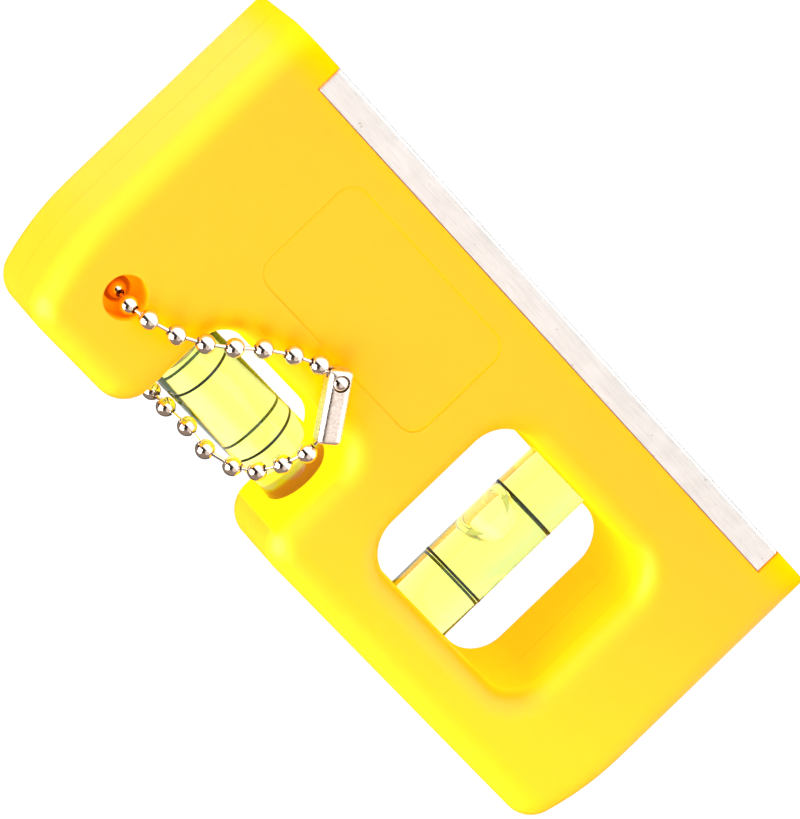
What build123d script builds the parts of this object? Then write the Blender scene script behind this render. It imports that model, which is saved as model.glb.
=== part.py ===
from build123d import *
import os
from math import sqrt

# Pocket spirit level with a ball-chain loop.
# Frame: X along the length, the end with the chain hole at +X; Y through the
# thickness, front face at -Y; Z up, working face (base) at Z = 0.
# Origin at the centre of the base. Lengths in mm; names ending in _R are radii.

# ---------------------------------------------------------------- dimensions
LENGTH = 87.0
HEIGHT = 39.5
THICK = 17.0
HALF = THICK / 2
CUT_OVER = 1.0                      # how far a cutter runs past the face it opens

# outline
END_STRAIGHT = 27.3                 # height at which the ends begin to bow inwards
END_BOW_R = 32.0
TOP_CORNER_R = 3.5                  # between bow and top edge
EDGE_R = 3.3                        # front and back rims of the outline, notch included

# open-top notch round the level vial
NOTCH_X0, NOTCH_X1 = 5.0, 25.7
NOTCH_FLOOR = 25.4
NOTCH_FLOOR_R = 3.4
NOTCH_MOUTH_R = 3.6
NOTCH_OVER = 10.0

# window round the plumb vial
WIN_X0, WIN_X1 = -29.6, -3.9
WIN_Z0, WIN_Z1 = 11.2, 31.8
WIN_R = 4.4
WIN_EDGE_R = 2.7

# blank recessed panel
LABEL_X0, LABEL_X1 = 2.2, 28.0
LABEL_Z0, LABEL_Z1 = 6.4, 20.2
LABEL_R = 2.2
LABEL_DEPTH = 0.12

# lightening pockets, open at the joint plane: x0, x1, z0, z1
POCKETS = ((-41.0, -32.2, 10.5, 29.0), (0.8, 29.0, 8.6, 22.6), (31.4, 41.0, 10.5, 26.0))
POCKET_R = 1.5
POCKET_SKIN = 2.4                   # wall left behind the outer face

# pegs on the front shell, holes in the back shell: x, z
PEGS = ((-37.2, 7.0), (37.2, 7.0), (-37.2, 32.5), (-1.2, 34.6))
PEG_R, PEG_LENGTH, PEG_ROOT = 1.2, 2.4, 0.5
PEG_HOLE_R, PEG_HOLE_DEPTH = 1.25, 2.7

# base bars and magnets
BAR_LENGTH, BAR_DEPTH, BAR_HEIGHT = 75.2, 5.5, 3.0
BAR_CHAMFER = 0.3
BAR_GAP = 0.06                      # clearance round bars and magnets
MAG_LENGTH, MAG_DEPTH, MAG_HEIGHT = 12.0, 10.0, 3.0
MAG_X = 20.0
MAG_CHAMFER = 0.3
MAG_SEAT_OVERLAP = 0.2              # the magnet seat starts this far below the bar's top

# chain hole, counterbored from both faces
HOLE_X, HOLE_Z = 35.7, 31.16
HOLE_R, CBORE_R, CBORE_DEPTH = 1.45, 2.4, 3.5

# both vials
VIAL_R, VIAL_BORE_R = 4.0, 3.2
VIAL_END_WALL = 1.3
VIAL_END_R = 0.8
PLUG_SPIGOT, PLUG_FLANGE = 1.6, 0.9
FLANGE_R = VIAL_R - 0.1
FILL_R = VIAL_BORE_R - 0.01         # liquid and plug spigot
SEAT_GAP = 0.03
RING_WIDTH, RING_DEPTH = 0.42, 0.07

# level vial: axis height, ends with plug flange included, ring places along X
LEVEL_Z = 30.9
LEVEL_X0, LEVEL_X1 = 1.4, 29.2
LEVEL_LENGTH = LEVEL_X1 - LEVEL_X0
LEVEL_RINGS = (10.97, 21.23)
LEVEL_BUBBLE_R = VIAL_BORE_R - 0.05
LEVEL_BUBBLE_STRAIGHT = 1.9
LEVEL_BUBBLE_DOME = 1.3
LEVEL_BUBBLE_GAP = 0.02             # between bubble and plug

# plumb vial: axis place, ends with plug flange included, ring heights
PLUMB_X = -16.75
PLUMB_Z0, PLUMB_Z1 = 7.7, 35.2
PLUMB_LENGTH = PLUMB_Z1 - PLUMB_Z0
PLUMB_RINGS = (16.3, 26.6)
PLUMB_BUBBLE_Z = 19.6
PLUMB_BUBBLE_RADII = (3.75, 3.0, 3.3)
PLUMB_BUBBLE_LIMIT_R = VIAL_BORE_R - 0.03

# chain balls and the headed wires that link them
BALL_R, BALL_INNER_R = 1.05, 0.80
BALL_HOLE_R = 0.46
WIRE_R, HEAD_R = 0.20, 0.30
HEAD_OFFSET = 0.40                  # ball centre to head centre
HEAD_NECK = sqrt(HEAD_R ** 2 - WIRE_R ** 2)     # head centre to where the wire leaves it
OPEN_GAP = 0.08                     # clearance at the opened pivot of the loop

# Ball centres: x, depth behind the front face (negative stands in front), z.
# Core: through the chain hole, front to back.
CORE_BALLS = [
    (35.5, 4.0, 31.2), (HOLE_X, 7.1, HOLE_Z), (HOLE_X, 10.25, HOLE_Z), (35.6, 13.4, 31.2),
]
# Front: from the hole down across the front face to the clasp.
FRONT_BALLS = [
    (34.57, 1.0, 31.48), (32.83, -1.3, 31.06), (29.57, -1.3, 30.11),
    (26.67, -1.3, 28.63), (24.16, -1.3, 26.82), (21.84, -1.3, 24.78),
    (19.04, -1.3, 23.01), (16.32, -1.35, 21.80), (13.69, -1.88, 21.56),
]
# Rear: from the hole along the back, over the level vial, down the front to the clasp.
REAR_BALLS = [
    (34.7, 16.4, 31.45), (32.6, 18.5, 32.1), (29.6, 18.88, 32.9), (26.6, 18.6, 33.6),
    (24.0, 17.2, 34.3), (22.6, 14.5, 35.0), (21.4, 11.7, 35.9), (20.28, 8.75, 36.0),
    (17.91, 6.8, 35.81), (15.42, 5.1, 36.12), (12.58, 3.65, 35.3), (10.98, 2.12, 33.81),
    (10.34, 0.43, 31.47), (10.17, -1.3, 28.89),
]
END_BALL = (10.42, -1.47, 25.67)    # held in the upper end of the clasp

# clasp
CLASP_LENGTH, CLASP_WIDTH, CLASP_DEPTH, CLASP_SHEET = 7.95, 2.62, 2.62, 0.2
CLASP_SIDE_R, CLASP_END_R, CLASP_INNER_R = 0.8, 0.55, 0.6
CLASP_WINDOW_R = 0.92
CLASP_SLOT_R = 0.42
CLASP_SLOT_ANGLES = (-3, 0, 4, 8, 12, 15)       # degrees about Y from the link
SEAM_WIDTH, SEAM_CUT = 0.25, 1.2


# ------------------------------------------------------------------- helpers
def save(name, shape):
    export_step(shape, "parts/" + name + ".step")


def at(x, depth, z):
    """Point from X, depth behind the front face, and Z."""
    return Vector(x, depth - HALF, z)


def unit(start, end):
    step = end - start
    return step * (1.0 / step.length)


def rod(start, end, radius):
    """Cylinder between two points."""
    step = end - start
    upright = Cylinder(radius, step.length, align=(Align.CENTER, Align.CENTER, Align.MIN))
    return Plane(origin=start, z_dir=step) * upright


def rounded_prism(x0, x1, z0, z1, radius, y_from, y_to):
    """Rounded rectangle in X and Z, extruded towards -Y."""
    section = Pos((x0 + x1) / 2, (z0 + z1) / 2) * RectangleRounded(x1 - x0, z1 - z0, radius)
    plane = Plane((0, y_from, 0), x_dir=(1, 0, 0), z_dir=(0, -1, 0))
    return extrude(plane * section, amount=y_from - y_to)


def box_span(x0, x1, y0, y1, z0, z1):
    centre = Pos((x0 + x1) / 2, (y0 + y1) / 2, (z0 + z1) / 2)
    return centre * Box(x1 - x0, y1 - y0, z1 - z0)


# -------------------------------------------------------------------- shells
def bow_inset(rise):
    """How far the bow has moved inwards at a height above the straight end."""
    return END_BOW_R - sqrt(END_BOW_R ** 2 - rise ** 2)


def body_outline():
    """Front view of the body with its notch; sketch Y is Z of the product."""
    end_x = LENGTH / 2
    rise = HEIGHT - END_STRAIGHT
    top_x = end_x - bow_inset(rise)
    mid_x, mid_z = end_x - bow_inset(rise / 2), END_STRAIGHT + rise / 2
    outline = make_face([
        Line((end_x, 0), (-end_x, 0)),
        Line((-end_x, 0), (-end_x, END_STRAIGHT)),
        ThreePointArc((-end_x, END_STRAIGHT), (-mid_x, mid_z), (-top_x, HEIGHT)),
        Line((-top_x, HEIGHT), (top_x, HEIGHT)),
        ThreePointArc((top_x, HEIGHT), (mid_x, mid_z), (end_x, END_STRAIGHT)),
        Line((end_x, END_STRAIGHT), (end_x, 0)),
    ])
    outline = fillet([v for v in outline.vertices() if abs(v.Y - HEIGHT) < 1e-6], TOP_CORNER_R)

    notch_top = HEIGHT + NOTCH_OVER
    notch = Pos((NOTCH_X0 + NOTCH_X1) / 2, (NOTCH_FLOOR + notch_top) / 2) * Rectangle(
        NOTCH_X1 - NOTCH_X0, notch_top - NOTCH_FLOOR)
    outline = outline - notch
    floor = [v for v in outline.vertices()
             if abs(v.Y - NOTCH_FLOOR) < 1e-6 and NOTCH_X0 - 1 < v.X < NOTCH_X1 + 1]
    outline = fillet(floor, NOTCH_FLOOR_R)
    mouth = [v for v in outline.vertices()
             if abs(v.Y - HEIGHT) < 1e-6
             and (abs(v.X - NOTCH_X0) < 1e-6 or abs(v.X - NOTCH_X1) < 1e-6)]
    return fillet(mouth, NOTCH_MOUTH_R)


def on_front(edge):
    return abs(edge.center().Y + HALF) < 1e-4


def in_window(edge):
    centre = edge.center()
    return (WIN_X0 - 0.1 < centre.X < WIN_X1 + 0.1
            and WIN_Z0 - 0.1 < centre.Z < WIN_Z1 + 0.1)


def half_shell():
    """Front half of the body, from the joint plane Y = 0 to the front face."""
    half = extrude(Plane.XZ * body_outline(), amount=HALF)
    # the base edge stays sharp
    half = fillet([e for e in half.edges() if on_front(e) and e.center().Z > 0.01], EDGE_R)

    outside = -HALF - CUT_OVER
    half = half - rounded_prism(WIN_X0, WIN_X1, WIN_Z0, WIN_Z1, WIN_R, CUT_OVER, outside)
    half = fillet([e for e in half.edges() if on_front(e) and in_window(e)], WIN_EDGE_R)
    half = half - rounded_prism(LABEL_X0, LABEL_X1, LABEL_Z0, LABEL_Z1, LABEL_R,
                                -HALF + LABEL_DEPTH, outside)

    # base bar seat
    seat_x = BAR_LENGTH / 2 + BAR_GAP
    half = half - box_span(-seat_x, seat_x, outside, -HALF + BAR_DEPTH + BAR_GAP,
                           -CUT_OVER, BAR_HEIGHT + BAR_GAP)

    # chain hole and counterbore
    hole_start = at(HOLE_X, -CUT_OVER, HOLE_Z)
    half = half - rod(hole_start, at(HOLE_X, THICK + CUT_OVER, HOLE_Z), HOLE_R)
    half = half - rod(hole_start, at(HOLE_X, CBORE_DEPTH, HOLE_Z), CBORE_R)

    # vial seats
    seat_r = VIAL_R + SEAT_GAP
    half = half - Pos((LEVEL_X0 + LEVEL_X1) / 2, 0, LEVEL_Z) * Rot(0, 90, 0) * Cylinder(
        seat_r, LEVEL_LENGTH + 2 * SEAT_GAP)
    half = half - Pos(PLUMB_X, 0, (PLUMB_Z0 + PLUMB_Z1) / 2) * Cylinder(
        seat_r, PLUMB_LENGTH + 2 * SEAT_GAP)

    # magnet seats
    reach = MAG_LENGTH / 2 + BAR_GAP
    for x in (-MAG_X, MAG_X):
        half = half - box_span(x - reach, x + reach, -MAG_DEPTH / 2 - BAR_GAP, CUT_OVER,
                               BAR_HEIGHT - MAG_SEAT_OVERLAP,
                               BAR_HEIGHT + MAG_HEIGHT + 2 * BAR_GAP)
    for x0, x1, z0, z1 in POCKETS:
        half = half - rounded_prism(x0, x1, z0, z1, POCKET_R, CUT_OVER, -HALF + POCKET_SKIN)
    return half


def build_shells():
    front = half_shell()
    back = mirror(front, about=Plane.XZ)
    for x, z in PEGS:
        front = front + rod(Vector(x, -PEG_ROOT, z), Vector(x, PEG_LENGTH, z), PEG_R)
        back = back - rod(Vector(x, -CUT_OVER, z), Vector(x, PEG_HOLE_DEPTH, z), PEG_HOLE_R)
    save("front_shell", front)
    save("back_shell", back)


# ---------------------------------------------------------- bars and magnets
def build_base_bars():
    bar = box_span(-BAR_LENGTH / 2, BAR_LENGTH / 2, -HALF, -HALF + BAR_DEPTH, 0, BAR_HEIGHT)
    # all edges of the bottom face and the upright edges of the outer face
    edges = [e for e in bar.edges()
             if abs(e.center().Z) < 1e-6
             or (abs(e.center().Y + HALF) < 1e-6 and abs(e.center().X) > 1)]
    bar = chamfer(edges, BAR_CHAMFER)
    save("front_base_bar", bar)
    save("back_base_bar", mirror(bar, about=Plane.XZ))


def build_magnets():
    bottom = BAR_HEIGHT + BAR_GAP
    for name, x in (("magnet_left", -MAG_X), ("magnet_right", MAG_X)):
        magnet = box_span(x - MAG_LENGTH / 2, x + MAG_LENGTH / 2,
                          -MAG_DEPTH / 2, MAG_DEPTH / 2, bottom, bottom + MAG_HEIGHT)
        save(name, chamfer(magnet.edges().filter_by(Axis.X), MAG_CHAMFER))


# --------------------------------------------------------------------- vials
# Each vial is made along +Z, closed end at z = 0, plug flange at z = length.
def ring(z, outer_r):
    return Pos(0, 0, z) * (
        Cylinder(outer_r, RING_WIDTH) - Cylinder(VIAL_R - RING_DEPTH, RING_WIDTH + 1))


def save_vial(name, place, length, ring_places, bubble):
    body = length - PLUG_FLANGE
    cavity_end = body - PLUG_SPIGOT

    tube = Pos(0, 0, body / 2) * Cylinder(VIAL_R, body)
    closed_end = tube.edges().filter_by(GeomType.CIRCLE).sort_by(Axis.Z)[0:1]
    tube = fillet(closed_end, VIAL_END_R)
    tube = tube - Pos(0, 0, (VIAL_END_WALL + body + CUT_OVER) / 2) * Cylinder(
        VIAL_BORE_R, body + CUT_OVER - VIAL_END_WALL)
    for z in ring_places:
        tube = tube - ring(z, VIAL_R + 0.5)

    plug = Pos(0, 0, cavity_end + PLUG_SPIGOT / 2) * Cylinder(FILL_R, PLUG_SPIGOT)
    plug = plug + Pos(0, 0, body + PLUG_FLANGE / 2) * Cylinder(FLANGE_R, PLUG_FLANGE)
    liquid = Pos(0, 0, (VIAL_END_WALL + cavity_end) / 2) * Cylinder(
        FILL_R, cavity_end - VIAL_END_WALL)

    save(name + "_tube", place * tube)
    save(name + "_plug", place * plug)
    save(name + "_liquid", place * (liquid - bubble))
    save(name + "_rings", Compound(children=[place * ring(z, VIAL_R) for z in ring_places]))
    save(name + "_bubble", place * bubble)


def build_plumb_vial():
    """Upright vial; its bubble lies against the +X side of the bore."""
    z = PLUMB_BUBBLE_Z - PLUMB_Z0
    bubble = Pos(FILL_R, 0, z) * scale(Sphere(1.0), by=PLUMB_BUBBLE_RADII)
    bubble = bubble & (Pos(0, 0, z) * Cylinder(PLUMB_BUBBLE_LIMIT_R, 12))
    save_vial("plumb", Pos(PLUMB_X, 0, PLUMB_Z0), PLUMB_LENGTH,
              [z - PLUMB_Z0 for z in PLUMB_RINGS], bubble)


def build_level_vial():
    """Vial along X; its bubble stands against the plug at the +X end."""
    bubble_end = LEVEL_LENGTH - PLUG_FLANGE - PLUG_SPIGOT - LEVEL_BUBBLE_GAP
    bubble = Pos(0, 0, bubble_end - LEVEL_BUBBLE_STRAIGHT) * scale(
        Sphere(1.0), by=(LEVEL_BUBBLE_R, LEVEL_BUBBLE_R, LEVEL_BUBBLE_DOME))
    bubble = bubble + Pos(0, 0, bubble_end - LEVEL_BUBBLE_STRAIGHT / 2) * Cylinder(
        LEVEL_BUBBLE_R, LEVEL_BUBBLE_STRAIGHT)
    save_vial("level", Pos(LEVEL_X0, 0, LEVEL_Z) * Rot(0, 90, 0), LEVEL_LENGTH,
              [x - LEVEL_X0 for x in LEVEL_RINGS], bubble)


# ---------------------------------------------------------------- ball chain
# Ball centres in order along the chain, from one clasp end to the other.
chain = [at(*p) for p in FRONT_BALLS[::-1] + CORE_BALLS + REAR_BALLS + [END_BALL]]
ANCHOR = len(FRONT_BALLS) + 1       # second core ball, the only one without a wire


def ball(k):
    """Hollow ball; its poles and seam are turned away from the link holes."""
    centre = chain[k]
    toward = [unit(centre, p) for p in chain[max(k - 1, 0):k] + chain[k + 1:k + 2]]
    first = toward[0]
    second = toward[1] if len(toward) > 1 else first * -1
    pole = first.cross(second)
    if pole.length < 0.05:          # straight run: any direction across it will do
        pole = first.cross(Vector(0.31, 0.52, 0.79))
    pole = pole * (1.0 / pole.length)
    seam = (first + second) * -1
    if seam.length < 0.05:
        seam = pole.cross(first)
    shape = Plane(origin=centre, x_dir=seam, z_dir=pole) * (
        Sphere(BALL_R) - Sphere(BALL_INNER_R))
    for direction in toward:
        shape = shape - rod(centre + direction * 0.3, centre + direction * 1.6, BALL_HOLE_R)
    return shape


def wire(start, direction, length, far_head):
    """Wire with a round head at its start, and at its far end if far_head is set."""
    edges = [ThreePointArc((0, -HEAD_R), (HEAD_R, 0), (WIRE_R, HEAD_NECK))]
    if far_head:
        neck, tip = length - HEAD_NECK, length + HEAD_R
        far_end = ThreePointArc((WIRE_R, neck), (HEAD_R, length), (0, tip))
    else:
        neck, tip = length, length
        far_end = Line((WIRE_R, neck), (0, tip))
    edges += [
        Line((WIRE_R, HEAD_NECK), (WIRE_R, neck)),
        far_end,
        Line((0, tip), (0, -HEAD_R)),
    ]
    pin = revolve(Plane.XZ * make_face(edges), axis=Axis.Z)
    return Plane(origin=start, z_dir=direction) * pin


def link(start, end):
    """Wire headed at both ends, held inside the balls at start and end."""
    direction = unit(start, end)
    first_head = start + direction * HEAD_OFFSET
    last_head = end - direction * HEAD_OFFSET
    return wire(first_head, direction, (last_head - first_head).length, True)


def build_chain():
    """Every ball but the anchor carries the wire on its side nearer the anchor."""
    names = ["front_ball_%d" % n for n in range(len(FRONT_BALLS), 0, -1)]
    names += ["core_ball_%d" % (i + 1) for i in range(len(CORE_BALLS))]
    names += ["rear_ball_%02d" % (i + 1) for i in range(len(REAR_BALLS))]
    for k, name in enumerate(names):
        solids = [ball(k)]
        if k < ANCHOR:
            solids.append(link(chain[k + 1], chain[k]))
        elif k > ANCHOR:
            solids.append(link(chain[k - 1], chain[k]))
        save("chain_" + name, Compound(children=solids))


def build_end_ball():
    """End ball with a wire that stops short of the last rear ball."""
    last, end = chain[-2:]
    direction = unit(end, last)
    length = (last - end).length - BALL_R - OPEN_GAP - HEAD_OFFSET
    stub = wire(end + direction * HEAD_OFFSET, direction, length, False)
    save("chain_end_ball", Compound(children=[ball(len(chain) - 1), stub]))


def build_clasp():
    """Folded sheet sleeve round the end ball (above) and the last front ball (below)."""
    lower, before_lower = chain[:2]
    last_rear, upper = chain[-2:]
    axis_end = Vector(lower.X, upper.Y, lower.Z)
    axis = unit(upper, axis_end)
    plane = Plane(origin=(upper + axis_end) * 0.5, x_dir=Vector(0, 1, 0).cross(axis), z_dir=axis)

    outer = Box(CLASP_WIDTH, CLASP_DEPTH, CLASP_LENGTH)
    outer = fillet(outer.edges().filter_by(Axis.Z), CLASP_SIDE_R)
    ends = outer.faces().sort_by(Axis.Z)
    outer = fillet(ends[-1].edges() + ends[0].edges(), CLASP_END_R)
    inner = Box(CLASP_WIDTH - 2 * CLASP_SHEET, CLASP_DEPTH - 2 * CLASP_SHEET,
                CLASP_LENGTH - 2 * CLASP_SHEET)
    inner = fillet(inner.edges().filter_by(Axis.Z), CLASP_INNER_R)
    sleeve = plane * (outer - inner)

    # front window the lower ball bulges through, and the slot for its link
    sleeve = sleeve - rod(lower, lower + Vector(0, -3, 0), CLASP_WINDOW_R)
    to_link = unit(lower, before_lower)
    for angle in CLASP_SLOT_ANGLES:
        direction = to_link.rotate(Axis((0, 0, 0), (0, 1, 0)), angle)
        sleeve = sleeve - rod(lower, lower + direction * 3.2, CLASP_SLOT_R)
    # hole for the upper ball's wire
    sleeve = sleeve - rod(upper, upper + unit(upper, last_rear) * 3, BALL_HOLE_R)
    # long seam of the folded sheet, on the side that faces the body
    seam = Pos(0, CLASP_DEPTH / 2, 0) * Box(SEAM_WIDTH, SEAM_CUT, CLASP_LENGTH + 2)
    save("chain_clasp", sleeve - plane * seam)


os.makedirs("parts", exist_ok=True)
build_shells()
build_base_bars()
build_magnets()
build_plumb_vial()
build_level_vial()
build_chain()
build_end_ball()
build_clasp()
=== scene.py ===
# A pocket spirit level: a two-part yellow shell with steel base bars, magnets, a chain and
# two liquid vials. X runs along the level and Z is up. The plumb vial stands upright on
# the -X side; the level vial lies along X near the top on the +X side.
import math

import bmesh
import bpy
from mathutils import Matrix, Vector


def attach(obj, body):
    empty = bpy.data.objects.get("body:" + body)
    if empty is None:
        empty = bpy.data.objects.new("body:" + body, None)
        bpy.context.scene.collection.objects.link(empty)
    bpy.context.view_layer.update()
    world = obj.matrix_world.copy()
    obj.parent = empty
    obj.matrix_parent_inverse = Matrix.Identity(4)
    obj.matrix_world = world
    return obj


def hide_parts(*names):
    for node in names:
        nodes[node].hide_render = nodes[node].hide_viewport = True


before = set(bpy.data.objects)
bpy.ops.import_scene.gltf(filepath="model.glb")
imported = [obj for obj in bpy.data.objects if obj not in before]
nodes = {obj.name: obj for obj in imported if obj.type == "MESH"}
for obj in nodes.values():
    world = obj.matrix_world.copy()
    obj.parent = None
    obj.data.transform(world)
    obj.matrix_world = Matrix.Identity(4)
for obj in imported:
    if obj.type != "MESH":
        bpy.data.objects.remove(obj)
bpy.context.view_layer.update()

scene = bpy.context.scene

# Lengths are in mm unless noted, and become metres through MM.
MM = 0.001

# Vial sections, shared by both vials
TUBE_R = 4.0
BORE_R = 3.2
LIQUID_R = 3.145
BORE_TAPER = 0.035         # loss of bore radius from the middle to either end
END_ROUND = 0.8            # rounding of the closed end
OPEN_END_GAP = 0.9         # the tube stops this far short of the vial's length
PLUG_DEPTH = 1.6           # from the tube's open end to the cavity
END_WALL = 1.3
RING_W = 0.30
RING_ROOT, RING_EDGE, RING_TOP = -0.05, 0.012, 0.018    # radii measured from TUBE_R
LIQUID_GAP = 0.01          # between the liquid and the cavity's ends
LIQUID_ROUND, LIQUID_CHAMFER = 0.12, 0.03

# Plumb vial: stands along Z
PLUMB_X = -16.75
PLUMB_Z0, PLUMB_Z1 = 7.7, 35.2
PLUMB_RINGS_Z = (16.3, 26.6)
PLUMB_BUBBLE_Z = 19.6
PLUMB_BUBBLE_SEMI = (3.75, 3.0, 3.3)
PLUMB_BUBBLE_SHIFT = 3.15  # offset of the bubble's centre from the axis, toward +X
PLUMB_BUBBLE_MAX_R = 3.10

# Level vial: lies along X
LEVEL_X0, LEVEL_X1 = 1.4, 29.2
LEVEL_Z = 30.9
LEVEL_RINGS_X = (10.97, 21.23)
AIR_R = 3.14
AIR_LENGTH = 1.9           # cylindrical part of the air at the +X end
AIR_GAP = 0.02             # left beyond that length at the cavity's end
AIR_DOME = 1.3             # how far the air bulges into the liquid

# Refractive indices
ACRYLIC_IOR = 1.49
LIQUID_IOR = 1.47
BUBBLE_LIQUID_IOR = 1.38   # liquid index used at the bubbles' skin

FLOOR_HALF = 0.9           # metres
FLOOR_Z = -0.05


# ---------------------------------------------------------------- shader graphs

def rgba(color):
    """A single number stands for a grey."""
    if isinstance(color, (int, float)):
        color = (color,) * 3
    return (*color, 1.0)


class Graph:
    """Node tree of a material or world. Most methods return an output socket."""

    def __init__(self, owner):
        owner.use_nodes = True
        self.owner = owner
        self.tree = owner.node_tree
        self.tree.nodes.clear()

    def add(self, kind, inputs=None, **properties):
        """New node; an input given a socket is linked, otherwise it is set."""
        node = self.tree.nodes.new("ShaderNode" + kind)
        for key, value in properties.items():
            setattr(node, key, value)
        for key, value in (inputs or {}).items():
            socket = node.inputs[key]
            if isinstance(value, bpy.types.NodeSocket):
                self.tree.links.new(value, socket)
            else:
                socket.default_value = rgba(value) if socket.type == "RGBA" else value
        return node

    def shader(self, kind, inputs=None):
        return self.add(kind, inputs).outputs[0]

    def coords(self):
        return self.add("TexCoord").outputs["Object"]

    def noise(self, coords, scale, detail=3.0, rough=0.5):
        inputs = {"Vector": coords, "Scale": scale, "Detail": detail, "Roughness": rough}
        return self.add("TexNoise", inputs).outputs["Fac"]

    def ramp(self, factor, *stops):
        """Each stop is (position, colour)."""
        node = self.add("ValToRGB", {"Fac": factor})
        elements = node.color_ramp.elements
        while len(elements) > 1:
            elements.remove(elements[-1])
        elements[0].position = stops[0][0]
        elements[0].color = rgba(stops[0][1])
        for position, color in stops[1:]:
            elements.new(position).color = rgba(color)
        return node.outputs["Color"]

    def mix(self, factor, a, b, blend="MIX"):
        node = self.add("Mix", {0: factor, 6: a, 7: b}, data_type="RGBA", blend_type=blend)
        return node.outputs[2]

    def math(self, operation, *values):
        return self.add("Math", dict(enumerate(values)), operation=operation).outputs[0]

    def dot(self, a, b):
        node = self.add("VectorMath", {0: a, 1: b}, operation="DOT_PRODUCT")
        return node.outputs["Value"]

    def smoothstep(self, value, start, end):
        """0 at start, 1 at end; start may be the larger."""
        inputs = {"Value": value, "From Min": start, "From Max": end}
        return self.add("MapRange", inputs, interpolation_type="SMOOTHSTEP").outputs[0]

    def bump(self, height, strength, distance, normal=None):
        inputs = {"Height": height, "Strength": strength, "Distance": distance * MM}
        if normal is not None:
            inputs["Normal"] = normal
        return self.add("Bump", inputs).outputs["Normal"]

    def bevel(self, radius):
        return self.add("Bevel", {"Radius": radius * MM}, samples=6).outputs["Normal"]

    def soft_box(self, coords, lo, hi, edge, edge_y):
        """1 inside the box lo..hi, fading to 0 across its edges."""
        axes = self.add("SeparateXYZ", {0: coords})
        inside = None
        for i, axis in enumerate("XYZ"):
            half = (edge_y if axis == "Y" else edge) / 2
            for start, end in ((lo[i] - half, lo[i] + half), (hi[i] + half, hi[i] - half)):
                side = self.smoothstep(axes.outputs[axis], start * MM, end * MM)
                inside = side if inside is None else self.math("MULTIPLY", inside, side)
        return inside

    def finish(self, surface, volume=None):
        inputs = {"Surface": surface}
        if volume is not None:
            inputs["Volume"] = volume
        self.add("OutputMaterial", inputs)
        return self.owner


def material_graph(name):
    return Graph(bpy.data.materials.new(name))


# ---------------------------------------------------------------- materials

def make_yellow_plastic():
    g = material_graph("abs_yellow")
    coords = g.coords()
    openness = g.add("AmbientOcclusion", {"Distance": 5.0 * MM}, samples=8).outputs["AO"]

    # painted shade: the base colour turns deeper orange where ambient occlusion is low, in
    # recesses, standing in for the light translucent plastic passes between its surfaces
    # there
    color = g.ramp(openness, (0.0, (0.80, 0.17, 0.0)), (0.12, (1.0, 0.30, 0.0)),
                   (0.32, (1.0, 0.42, 0.0)), (1.0, (0.94, 0.31, 0.0)))
    flow = g.noise(coords, scale=55.0, detail=2.0)
    tint = g.ramp(flow, (0.3, (0.975, 0.97, 0.9)), (0.7, 1.0))
    color = g.mix(1.0, color, tint, "MULTIPLY")

    # painted light: paler toward the upper -X part, then wherever the surface faces +X and
    # up, where the key lights fall
    normal = g.add("NewGeometry").outputs["Normal"]
    facing = g.smoothstep(g.dot(normal, (0.80, 0.0, 0.60)), start=0.12, end=0.75)
    upper = g.smoothstep(g.dot(coords, (-0.45, 0.0, 0.89)), start=16.0 * MM, end=56.0 * MM)
    color = g.mix(upper, color, (0.95, 0.38, 0.0))
    color = g.mix(facing, color, (0.95, 0.46, 0.006))

    # the regions around the two vials, masks for the painted light inside the windows
    plumb_box = g.soft_box(coords, lo=(-30.2, -7.0, 10.6), hi=(-3.3, 7.0, 32.4),
                           edge=0.4, edge_y=2.2)
    level_box = g.soft_box(coords, lo=(4.2, -7.0, 24.8), hi=(26.5, 7.0, 37.0),
                           edge=0.6, edge_y=2.2)

    # painted light: emission by ambient occlusion that stands in for the light the plastic
    # passes on inside itself, strongest in recesses
    glow = g.ramp(openness, (0.0, (0.20, 0.04, 0.0)), (0.12, (0.38, 0.11, 0.0)),
                  (0.24, (0.35, 0.20, 0.0)), (0.40, (0.16, 0.13, 0.0)),
                  (0.65, (0.02, 0.02, 0.0)), (0.85, 0.0))
    glow_strength = 0.8

    # moulded texture over softened edges
    fine = g.noise(coords, scale=2600.0, detail=2.0, rough=0.55)
    medium = g.noise(coords, scale=420.0, detail=2.0)
    relief = g.bump(fine, strength=0.22, distance=0.010, normal=g.bevel(0.22))
    relief = g.bump(medium, strength=0.25, distance=0.03, normal=relief)

    glossy = g.shader("BsdfPrincipled", {
        "Base Color": color,
        "Emission Color": glow,
        "Emission Strength": glow_strength,
        "Roughness": g.ramp(medium, (0.3, 0.36), (0.7, 0.44)),
        "Normal": relief,
        "IOR": 1.5,
        "Specular IOR Level": g.ramp(openness, (0.25, 0.0), (0.6, 0.12), (0.95, 0.38)),
        "Subsurface Weight": 0.12,
        "Subsurface Radius": (1.0, 0.45, 0.06),
        "Subsurface Scale": 1.6 * MM,
    })

    # painted light: inside the boxes around the vials the colour is paler and a painted glow
    # is added; these regions and the recesses use a diffuse shader
    window_painted_color = g.mix(plumb_box, color, (0.93, 0.50, 0.0))
    window_painted_color = g.mix(level_box, window_painted_color, (0.95, 0.58, 0.0))
    window_painted_glow = g.mix(plumb_box, glow, (0.10, 0.13, 0.010))
    window_painted_glow = g.mix(level_box, window_painted_glow, (0.10, 0.24, 0.012))
    diffuse = g.shader("BsdfDiffuse", {"Color": window_painted_color, "Normal": relief})
    emission = g.shader("Emission", {"Color": window_painted_glow, "Strength": glow_strength})
    diffuse_painted_light = g.shader("AddShader", {0: diffuse, 1: emission})

    exposed = g.ramp(openness, (0.70, 0.0), (0.95, 1.0))
    outside = g.math("SUBTRACT", 1.0, g.math("MAXIMUM", plumb_box, level_box))
    glossy_share = g.math("MULTIPLY", exposed, outside)
    return g.finish(g.shader("MixShader", {0: glossy_share, 1: diffuse_painted_light, 2: glossy}))


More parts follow.
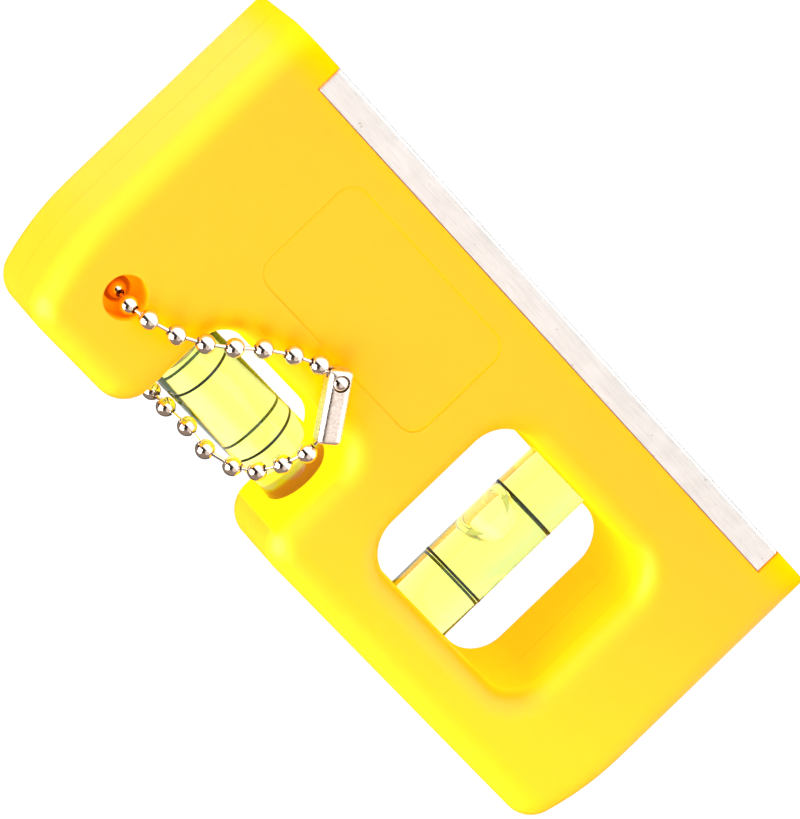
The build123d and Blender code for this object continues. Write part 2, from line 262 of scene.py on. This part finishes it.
def make_ground_steel():
    g = material_graph("ground_steel")
    coords = g.coords()
    # grinding lines drawn out along X
    stretched = g.add("Mapping", {"Vector": coords, "Scale": (0.05, 1.0, 1.0)}).outputs[0]
    lines = g.noise(stretched, scale=5200.0, rough=0.6)
    blotches = g.noise(coords, scale=350.0, detail=4.0, rough=0.6)
    specks = g.noise(coords, scale=1500.0, detail=2.0)
    line_color = g.ramp(lines, (0.25, (0.68, 0.68, 0.675)), (0.6, (0.79, 0.79, 0.785)))
    blotch_color = g.ramp(blotches, (0.3, (0.92, 0.92, 0.91)), (0.65, 1.0))
    speck_color = g.ramp(specks, (0.23, (0.66, 0.62, 0.55)), (0.28, 1.0))
    color = g.mix(1.0, line_color, blotch_color, "MULTIPLY")
    return g.finish(g.shader("BsdfPrincipled", {
        "Base Color": g.mix(1.0, color, speck_color, "MULTIPLY"),
        "Metallic": 1.0,
        "Roughness": g.ramp(lines, (0.3, 0.34), (0.7, 0.5)),
        "Normal": g.bump(lines, strength=0.35, distance=0.008, normal=g.bevel(0.12)),
    }))


def make_nickel(name, scale, detail, grain_rough, colors, roughness, bump_strength,
                bump_distance, bevel=None):
    """Grainy nickel; colors and roughness are ramp stops over the grain."""
    g = material_graph(name)
    grain = g.noise(g.coords(), scale, detail, grain_rough)
    edge_normal = None if bevel is None else g.bevel(bevel)
    return g.finish(g.shader("BsdfPrincipled", {
        "Base Color": g.ramp(grain, *colors),
        "Metallic": 1.0,
        "Roughness": g.ramp(grain, *roughness),
        "Normal": g.bump(grain, bump_strength, bump_distance, edge_normal),
    }))


def make_clear(name, ior, color, bump=0.0, glow=0.0):
    """Clear surface; its shadow is light, as clear plastic's is."""
    g = material_graph(name)
    waves = g.noise(g.coords(), scale=260.0, detail=2.0)
    dimmed = tuple(0.985 * c for c in color)
    inputs = {"Color": g.ramp(waves, (0.2, dimmed), (0.8, color)),
              "IOR": ior, "Roughness": 0.0}
    if bump:
        inputs["Normal"] = g.bump(waves, strength=bump, distance=0.004)
    body = g.shader("BsdfGlass", inputs)
    if glow:
        # painted light: the bubble glows a pale cream, standing in for daylight the air
        # sends back through the tinted liquid in front of it
        painted_bubble_glow = g.shader("Emission", {"Color": (0.95, 0.93, 0.84), "Strength": glow})
        body = g.shader("AddShader", {0: body, 1: painted_bubble_glow})
    shadow = g.shader("BsdfTransparent", {"Color": tuple(0.92 * c for c in color)})
    is_shadow = g.add("LightPath").outputs["Is Shadow Ray"]
    return g.finish(g.shader("MixShader", {0: is_shadow, 1: body, 2: shadow}))


def make_liquid(name, tint_start, tint_full):
    """Tinted volume without refraction: its surface is optically joined to the bore.
    The surface tint grows between two X positions."""
    g = material_graph(name)
    coords = g.coords()
    clear = g.ramp(g.noise(coords, scale=120.0, detail=1.0),
                   (0.2, (0.995, 1.0, 0.985)), (0.8, 1.0))
    along_x = g.add("SeparateXYZ", {0: coords}).outputs["X"]
    tint = g.smoothstep(along_x, tint_start * MM, tint_full * MM)
    surface = g.shader("BsdfTransparent", {"Color": g.mix(tint, clear, (0.905, 1.0, 0.97))})
    # absorption density and emission strength are per metre
    absorb = g.shader("VolumeAbsorption", {"Color": (0.975, 0.995, 0.10), "Density": 270.0})
    glow = g.shader("Emission", {"Color": (0.55, 0.95, 0.28), "Strength": 7.0})
    return g.finish(surface, volume=g.shader("AddShader", {0: absorb, 1: glow}))


def make_plain(name, dark, light, roughness, scale=800.0, metallic=0.0):
    g = material_graph(name)
    grain = g.noise(g.coords(), scale)
    return g.finish(g.shader("BsdfPrincipled", {
        "Base Color": g.ramp(grain, (0.3, dark), (0.7, light)),
        "Roughness": roughness,
        "Metallic": metallic,
        "Normal": g.bump(grain, strength=0.2, distance=0.01),
    }))


YELLOW = make_yellow_plastic()
STEEL = make_ground_steel()
NICKEL = make_nickel(
    "nickel_plate", scale=1800.0, detail=3.0, grain_rough=0.6,
    colors=((0.3, (0.80, 0.69, 0.60)), (0.7, (0.90, 0.82, 0.74))),
    roughness=((0.3, 0.09), (0.7, 0.17)), bump_strength=0.18, bump_distance=0.01)
SHEET = make_nickel(
    "nickel_sheet", scale=3600.0, detail=4.0, grain_rough=0.65,
    colors=((0.30, (0.74, 0.62, 0.54)), (0.55, (0.88, 0.79, 0.72))),
    roughness=((0.3, 0.22), (0.7, 0.34)), bump_strength=0.15, bump_distance=0.006,
    bevel=0.06)
ACRYLIC = make_clear("acrylic_outer", ior=ACRYLIC_IOR, color=(0.995, 1.0, 0.985), bump=0.15)
BORE = make_clear("acrylic_bore", ior=ACRYLIC_IOR / LIQUID_IOR, color=(1.0, 1.0, 1.0))
# the bubbles carry a small painted glow
BUBBLE = make_clear("bubble_skin", ior=1.0 / BUBBLE_LIQUID_IOR, color=(1.0, 1.0, 0.98),
                    glow=0.11)
PLUMB_LIQUID = make_liquid("vial_liquid_plumb", tint_start=-16.9, tint_full=-19.6)
LEVEL_LIQUID = make_liquid("vial_liquid_level", tint_start=21.5, tint_full=24.5)
INK = make_plain("ring_ink", dark=(0.004, 0.006, 0.003), light=(0.010, 0.014, 0.006),
                 roughness=0.45)
PLUG = make_plain("plug_plastic", dark=(0.80, 0.86, 0.55), light=(0.88, 0.92, 0.66),
                  roughness=0.35)
MAGNET = make_plain("magnet_plate", dark=(0.55, 0.55, 0.54), light=(0.70, 0.70, 0.68),
                    roughness=0.28, scale=900.0, metallic=1.0)


# ---------------------------------------------------------------- CAD pieces

def dress(name, material):
    """Give every material slot of a CAD piece the same material."""
    piece = nodes[name]
    materials = piece.data.materials
    if not materials:
        materials.append(material)
    for i in range(len(materials)):
        materials[i] = material
    for slot in piece.material_slots:
        slot.material = material


PIECE_MATERIALS = {
    "front_shell": YELLOW, "back_shell": YELLOW,
    "front_base_bar": STEEL, "back_base_bar": STEEL,
    "magnet_left": MAGNET, "magnet_right": MAGNET,
    "level_plug": PLUG, "plumb_plug": PLUG,
}
for piece_name, piece_material in PIECE_MATERIALS.items():
    dress(piece_name, piece_material)
for piece_name in nodes:
    if piece_name.startswith("chain_"):
        dress(piece_name, SHEET if piece_name == "chain_clasp" else NICKEL)


# ---------------------------------------------------------------- mesh helpers

def mesh_object(name, bm, materials):
    """Smooth-shaded object from a bmesh, with its normals facing outward."""
    bmesh.ops.recalc_face_normals(bm, faces=bm.faces)
    mesh = bpy.data.meshes.new(name)
    bm.to_mesh(mesh)
    bm.free()
    for material in materials:
        mesh.materials.append(material)
    for polygon in mesh.polygons:
        polygon.use_smooth = True
    obj = bpy.data.objects.new(name, mesh)
    scene.collection.objects.link(obj)
    return obj


def sharpen(obj, degrees=40):
    """Mark the edges that bend by this angle or more as sharp."""
    bm = bmesh.new()
    bm.from_mesh(obj.data)
    for edge in bm.edges:
        if len(edge.link_faces) == 2:
            edge.smooth = edge.calc_face_angle(0.0) < math.radians(degrees)
    bm.to_mesh(obj.data)
    bm.free()


def revolve(bm, profile, segments, closed, material_of):
    """Turn (r, z) points about +Z; a point with r = 0 lies on the axis."""
    rings = []
    for r, z in profile:
        angles = [2 * math.pi * k / segments for k in range(segments)] if r > 1e-9 else [0.0]
        rings.append([bm.verts.new((r * MM * math.cos(a), r * MM * math.sin(a), z * MM))
                      for a in angles])
    followers = rings[1:] + rings[:1] if closed else rings[1:]
    for i, (a, b) in enumerate(zip(rings, followers)):
        for k in range(segments):
            k2 = (k + 1) % segments
            if len(a) == 1:
                face = bm.faces.new((a[0], b[k], b[k2]))
            elif len(b) == 1:
                face = bm.faces.new((a[k], b[0], a[k2]))
            else:
                face = bm.faces.new((a[k], b[k], b[k2], a[k2]))
            face.material_index = material_of(i)


def lathe(name, profiles, materials, segments=128, closed=False, material_of=lambda i: 0,
          sharp=True):
    """One object turned from several profiles; material_of maps a profile edge to a slot."""
    bm = bmesh.new()
    for profile in profiles:
        revolve(bm, profile, segments, closed, material_of)
    obj = mesh_object(name, bm, materials)
    if sharp:
        sharpen(obj)
    return obj


def install(obj, matrix, replaced, body="level_body"):
    """Move a part into place and register it in the frame."""
    obj.data.transform(matrix)
    obj.data.update()
    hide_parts(replaced)
    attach(obj, body)


# ---------------------------------------------------------------- vials
# Each vial is built along +Z with its closed end at z = 0, then moved by its matrix.

def build_tube(tag, matrix, tube_end, cavity_start, cavity_end):
    corner = [math.radians(-80 + 80 * i / 6) for i in range(7)]
    profile = [(0.0, 0.0), (TUBE_R - END_ROUND, 0.0)]
    profile += [(TUBE_R - END_ROUND + END_ROUND * math.cos(a),
                 END_ROUND + END_ROUND * math.sin(a)) for a in corner]
    profile += [(TUBE_R, tube_end - 0.25), (TUBE_R - 0.08, tube_end - 0.06),
                (TUBE_R - 0.25, tube_end), (BORE_R, tube_end)]
    outer_edges = len(profile) - 1

    # barrel-ground bore: fullest at the middle, so the bubble centres itself
    middle = (cavity_start + cavity_end) / 2
    half = (cavity_end - cavity_start) / 2
    stations = [cavity_start + (cavity_end - cavity_start) * k / 24 for k in range(25)]
    profile.append((BORE_R, cavity_end + 0.02))
    profile += [(BORE_R - BORE_TAPER * ((z - middle) / half) ** 2, z)
                for z in reversed(stations)]
    profile.append((0.0, cavity_start))

    tube = lathe(tag + "_tube_clear", [profile], [ACRYLIC, BORE], segments=160,
                 material_of=lambda i: 0 if i < outer_edges else 1)
    install(tube, matrix, tag + "_tube")


def ring_profile(z):
    half = RING_W / 2
    points = ((RING_ROOT, -half), (RING_EDGE, -half), (RING_TOP, -half * 0.6),
              (RING_TOP, half * 0.6), (RING_EDGE, half), (RING_ROOT, half))
    return [(TUBE_R + dr, z + dz) for dr, dz in points]


def build_vial(tag, length, ring_places, matrix):
    """Tube and ink rings; returns where the cavity starts and ends."""
    tube_end = length - OPEN_END_GAP
    cavity_start, cavity_end = END_WALL, tube_end - PLUG_DEPTH
    build_tube(tag, matrix, tube_end, cavity_start, cavity_end)
    rings = lathe(tag + "_rings_ink", [ring_profile(z) for z in ring_places], [INK],
                  closed=True)
    install(rings, matrix, tag + "_rings")
    return cavity_start, cavity_end


def build_liquid(tag, matrix, z0, z1, material):
    """Cylinder with softened rims."""
    r = LIQUID_R
    profile = [(0.0, z0), (r - LIQUID_ROUND, z0), (r - LIQUID_CHAMFER, z0 + LIQUID_CHAMFER),
               (r, z0 + LIQUID_ROUND), (r, z1 - LIQUID_ROUND),
               (r - LIQUID_CHAMFER, z1 - LIQUID_CHAMFER), (r - LIQUID_ROUND, z1), (0.0, z1)]
    liquid = lathe(tag + "_liquid_body", [profile], [material], sharp=False)
    install(liquid, matrix, tag + "_liquid")


def build_plumb_bubble(matrix, centre_z, around=96, along=64):
    """Ellipsoid against the +X side of the bore, held inside a greatest radius."""
    semi_x, semi_y, semi_z = PLUMB_BUBBLE_SEMI

    def point(i, j):
        theta = math.pi * j / along
        phi = 2 * math.pi * i / around
        x = PLUMB_BUBBLE_SHIFT + semi_x * math.sin(theta) * math.cos(phi)
        y = semi_y * math.sin(theta) * math.sin(phi)
        squeeze = min(1.0, PLUMB_BUBBLE_MAX_R / math.hypot(x, y))
        return Vector((x * squeeze, y * squeeze, centre_z + semi_z * math.cos(theta))) * MM

    bm = bmesh.new()
    rows = [[bm.verts.new(point(i, j)) for i in range(around)] for j in range(1, along)]
    top = bm.verts.new(point(0, 0))
    bottom = bm.verts.new(point(0, along))
    for i in range(around):
        i2 = (i + 1) % around
        bm.faces.new((top, rows[0][i], rows[0][i2]))
        bm.faces.new((bottom, rows[-1][i2], rows[-1][i]))
        for upper, lower in zip(rows, rows[1:]):
            bm.faces.new((upper[i], lower[i], lower[i2], upper[i2]))
    bubble = mesh_object("plumb_bubble_skin", bm, [BUBBLE])
    install(bubble, matrix, "plumb_bubble", "plumb_bubble")


def build_level_bubble(matrix, air_start, cavity_end):
    """Air filling the +X end of the cavity, domed toward the liquid."""
    dome = [math.radians(a) for a in range(6, 90, 6)]
    profile = [(0.0, air_start - AIR_DOME)]
    profile += [(AIR_R * math.sin(a), air_start - AIR_DOME * math.cos(a)) for a in dome]
    profile += [(AIR_R, air_start), (AIR_R, cavity_end - 0.15),
                (AIR_R - 0.12, cavity_end - 0.03), (0.0, cavity_end - 0.03)]
    bubble = lathe("level_bubble_skin", [profile], [BUBBLE])
    install(bubble, matrix, "level_bubble", "level_bubble")


def build_plumb_vial():
    matrix = Matrix.Translation(Vector((PLUMB_X, 0, PLUMB_Z0)) * MM)
    start, end = build_vial("plumb", PLUMB_Z1 - PLUMB_Z0,
                            [z - PLUMB_Z0 for z in PLUMB_RINGS_Z], matrix)
    build_plumb_bubble(matrix, PLUMB_BUBBLE_Z - PLUMB_Z0)
    build_liquid("plumb", matrix, start + LIQUID_GAP, end - LIQUID_GAP, PLUMB_LIQUID)


def build_level_vial():
    turn = Matrix.Rotation(math.radians(90), 4, "Y")
    matrix = Matrix.Translation(Vector((LEVEL_X0, 0, LEVEL_Z)) * MM) @ turn
    start, end = build_vial("level", LEVEL_X1 - LEVEL_X0,
                            [x - LEVEL_X0 for x in LEVEL_RINGS_X], matrix)
    air_start = end - AIR_GAP - AIR_LENGTH
    build_level_bubble(matrix, air_start, end)
    build_liquid("level", matrix, start + LIQUID_GAP, air_start, LEVEL_LIQUID)


build_plumb_vial()
build_level_vial()


# ---------------------------------------------------------------- floor

def make_floor_material():
    """Lit floor seen from above, turning to plain white at grazing angles."""
    g = material_graph("floor_pale")
    diffuse = g.shader("BsdfDiffuse", {"Color": 0.86})
    white = g.shader("Emission", {"Color": 1.0, "Strength": 1.12})
    lift = g.shader("Emission", {"Strength": 0.22})
    geometry = g.add("NewGeometry").outputs
    steepness = g.math("ABSOLUTE", g.dot(geometry["Incoming"], geometry["Normal"]))
    from_above = g.smoothstep(steepness, start=0.10, end=0.30)
    lit = g.shader("AddShader", {0: diffuse, 1: lift})
    return g.finish(g.shader("MixShader", {0: from_above, 1: white, 2: lit}))


def build_floor():
    bm = bmesh.new()
    bmesh.ops.create_grid(bm, x_segments=2, y_segments=2, size=FLOOR_HALF)
    floor = mesh_object("floor", bm, [make_floor_material()])
    floor.location = (0, 0, FLOOR_Z * MM)


build_floor()

# ---------------------------------------------------------------- camera
# Looks from the -Y side, swung toward +X, and rolled so that its up axis leans down in Z.
CAMERA_PLACE = (215.1942, -437.8444, 29.092)
CAMERA_RIGHT = Vector((-0.61606019, -0.31752577, -0.72086561))
CAMERA_UP = Vector((0.65451311, 0.30283938, -0.69274879))
CAMERA_BACK = CAMERA_RIGHT.cross(CAMERA_UP).normalized()


def build_camera():
    camera = bpy.data.objects.new("camera", bpy.data.cameras.new("camera"))
    scene.collection.objects.link(camera)
    axes = Matrix((CAMERA_RIGHT, CAMERA_UP, CAMERA_BACK))
    matrix = axes.transposed().to_4x4()
    matrix.translation = Vector(CAMERA_PLACE) * MM
    camera.matrix_world = matrix
    camera.data.sensor_width = 36.0
    camera.data.lens = 205.280132
    camera.data.clip_start = 0.01
    camera.data.clip_end = 10.0
    scene.camera = camera


build_camera()


def camera_direction(right, up, back):
    """World direction from camera axes; back points from the scene to the camera."""
    return (CAMERA_RIGHT * right + CAMERA_UP * up + CAMERA_BACK * back).normalized()


# ---------------------------------------------------------------- lights
LIGHT_CENTRE = Vector((0, 0, 20)) * MM
LOW_KEY_SHIFT = Vector((-30.0, 0.0, 20.0)) * MM    # moved after it has been aimed

# name, direction in camera axes, distance and side in metres, watts, shows in reflections
LIGHTS = [
    ("key_left", (-0.85, -0.25, 0.45), 0.62, 0.55, 5.4, True),
    ("end_key", (-0.45, 0.80, 0.40), 0.62, 0.45, 1.8, False),
    ("fill_top_right", (0.49, 0.81, 0.32), 0.62, 0.38, 1.2, False),
    ("front_fill", (0.35, -0.35, 0.9), 0.75, 0.5, 1.6, False),
    ("low_key", (-0.20, -0.75, 0.62), 0.23, 0.16, 0.55, False),
]


def build_light(name, axes, distance, side, watts, in_reflections):
    light = bpy.data.lights.new(name, "AREA")
    light.shape = "RECTANGLE"
    light.size = side
    light.size_y = side
    light.energy = watts
    light.cycles.is_caustics_light = False
    obj = bpy.data.objects.new(name, light)
    scene.collection.objects.link(obj)
    direction = camera_direction(*axes)
    obj.location = LIGHT_CENTRE + direction * distance
    obj.rotation_mode = "QUATERNION"
    obj.rotation_quaternion = (-direction).to_track_quat("-Z", "Y")
    obj.visible_glossy = in_reflections
    return obj


lights = {row[0]: build_light(*row) for row in LIGHTS}
lights["low_key"].location += LOW_KEY_SHIFT


# ---------------------------------------------------------------- world

def build_world():
    """White to the eye, even ambient light, and a patterned room in reflections."""
    world = bpy.data.worlds.new("studio")
    scene.world = world
    g = Graph(world)
    generated = g.add("TexCoord").outputs["Generated"]
    ray = g.add("VectorMath", {0: generated}, operation="NORMALIZE").outputs[0]

    def lobe(axes, start, full):
        """Patch around a direction in camera axes; start and full are cosines."""
        return g.smoothstep(g.dot(ray, camera_direction(*axes)), start, full)

    dark = g.math("MAXIMUM",
                  lobe((-0.05, 0.10, 1.0), start=0.46, full=0.66),
                  lobe((-0.60, 0.62, 0.5), start=0.52, full=0.78))
    pink = lobe((0.571, -0.544, 0.616), start=0.78, full=0.92)
    white = lobe((0.60, 0.66, 0.45), start=0.90, full=0.97)
    behind = lobe((0.15, 0.15, -1.0), start=0.20, full=0.75)

    pink_color = (0.90, 0.80, 0.73)
    room = g.mix(pink, (0.34, 0.27, 0.23), pink_color)
    room = g.mix(behind, room, (0.10, 0.075, 0.055))
    room = g.mix(dark, room, (0.030, 0.020, 0.014))
    room = g.mix(pink, room, pink_color)
    room = g.mix(white, room, 1.2)

    path = g.add("LightPath").outputs
    color = g.mix(path["Is Glossy Ray"], 0.72, room)
    seen = g.math("MAXIMUM", path["Is Camera Ray"], path["Is Transmission Ray"])
    seen = g.math("MAXIMUM", seen, path["Is Singular Ray"])
    color = g.mix(seen, color, 1.12)
    g.add("OutputWorld", {"Surface": g.shader("Background", {"Color": color})})


# A bare number given to mix as a colour input becomes a grey through rgba.
build_world()

scene.view_settings.view_transform = "Standard"
scene.view_settings.look = "None"
scene.view_settings.exposure = 0.0
scene.view_settings.gamma = 1.0
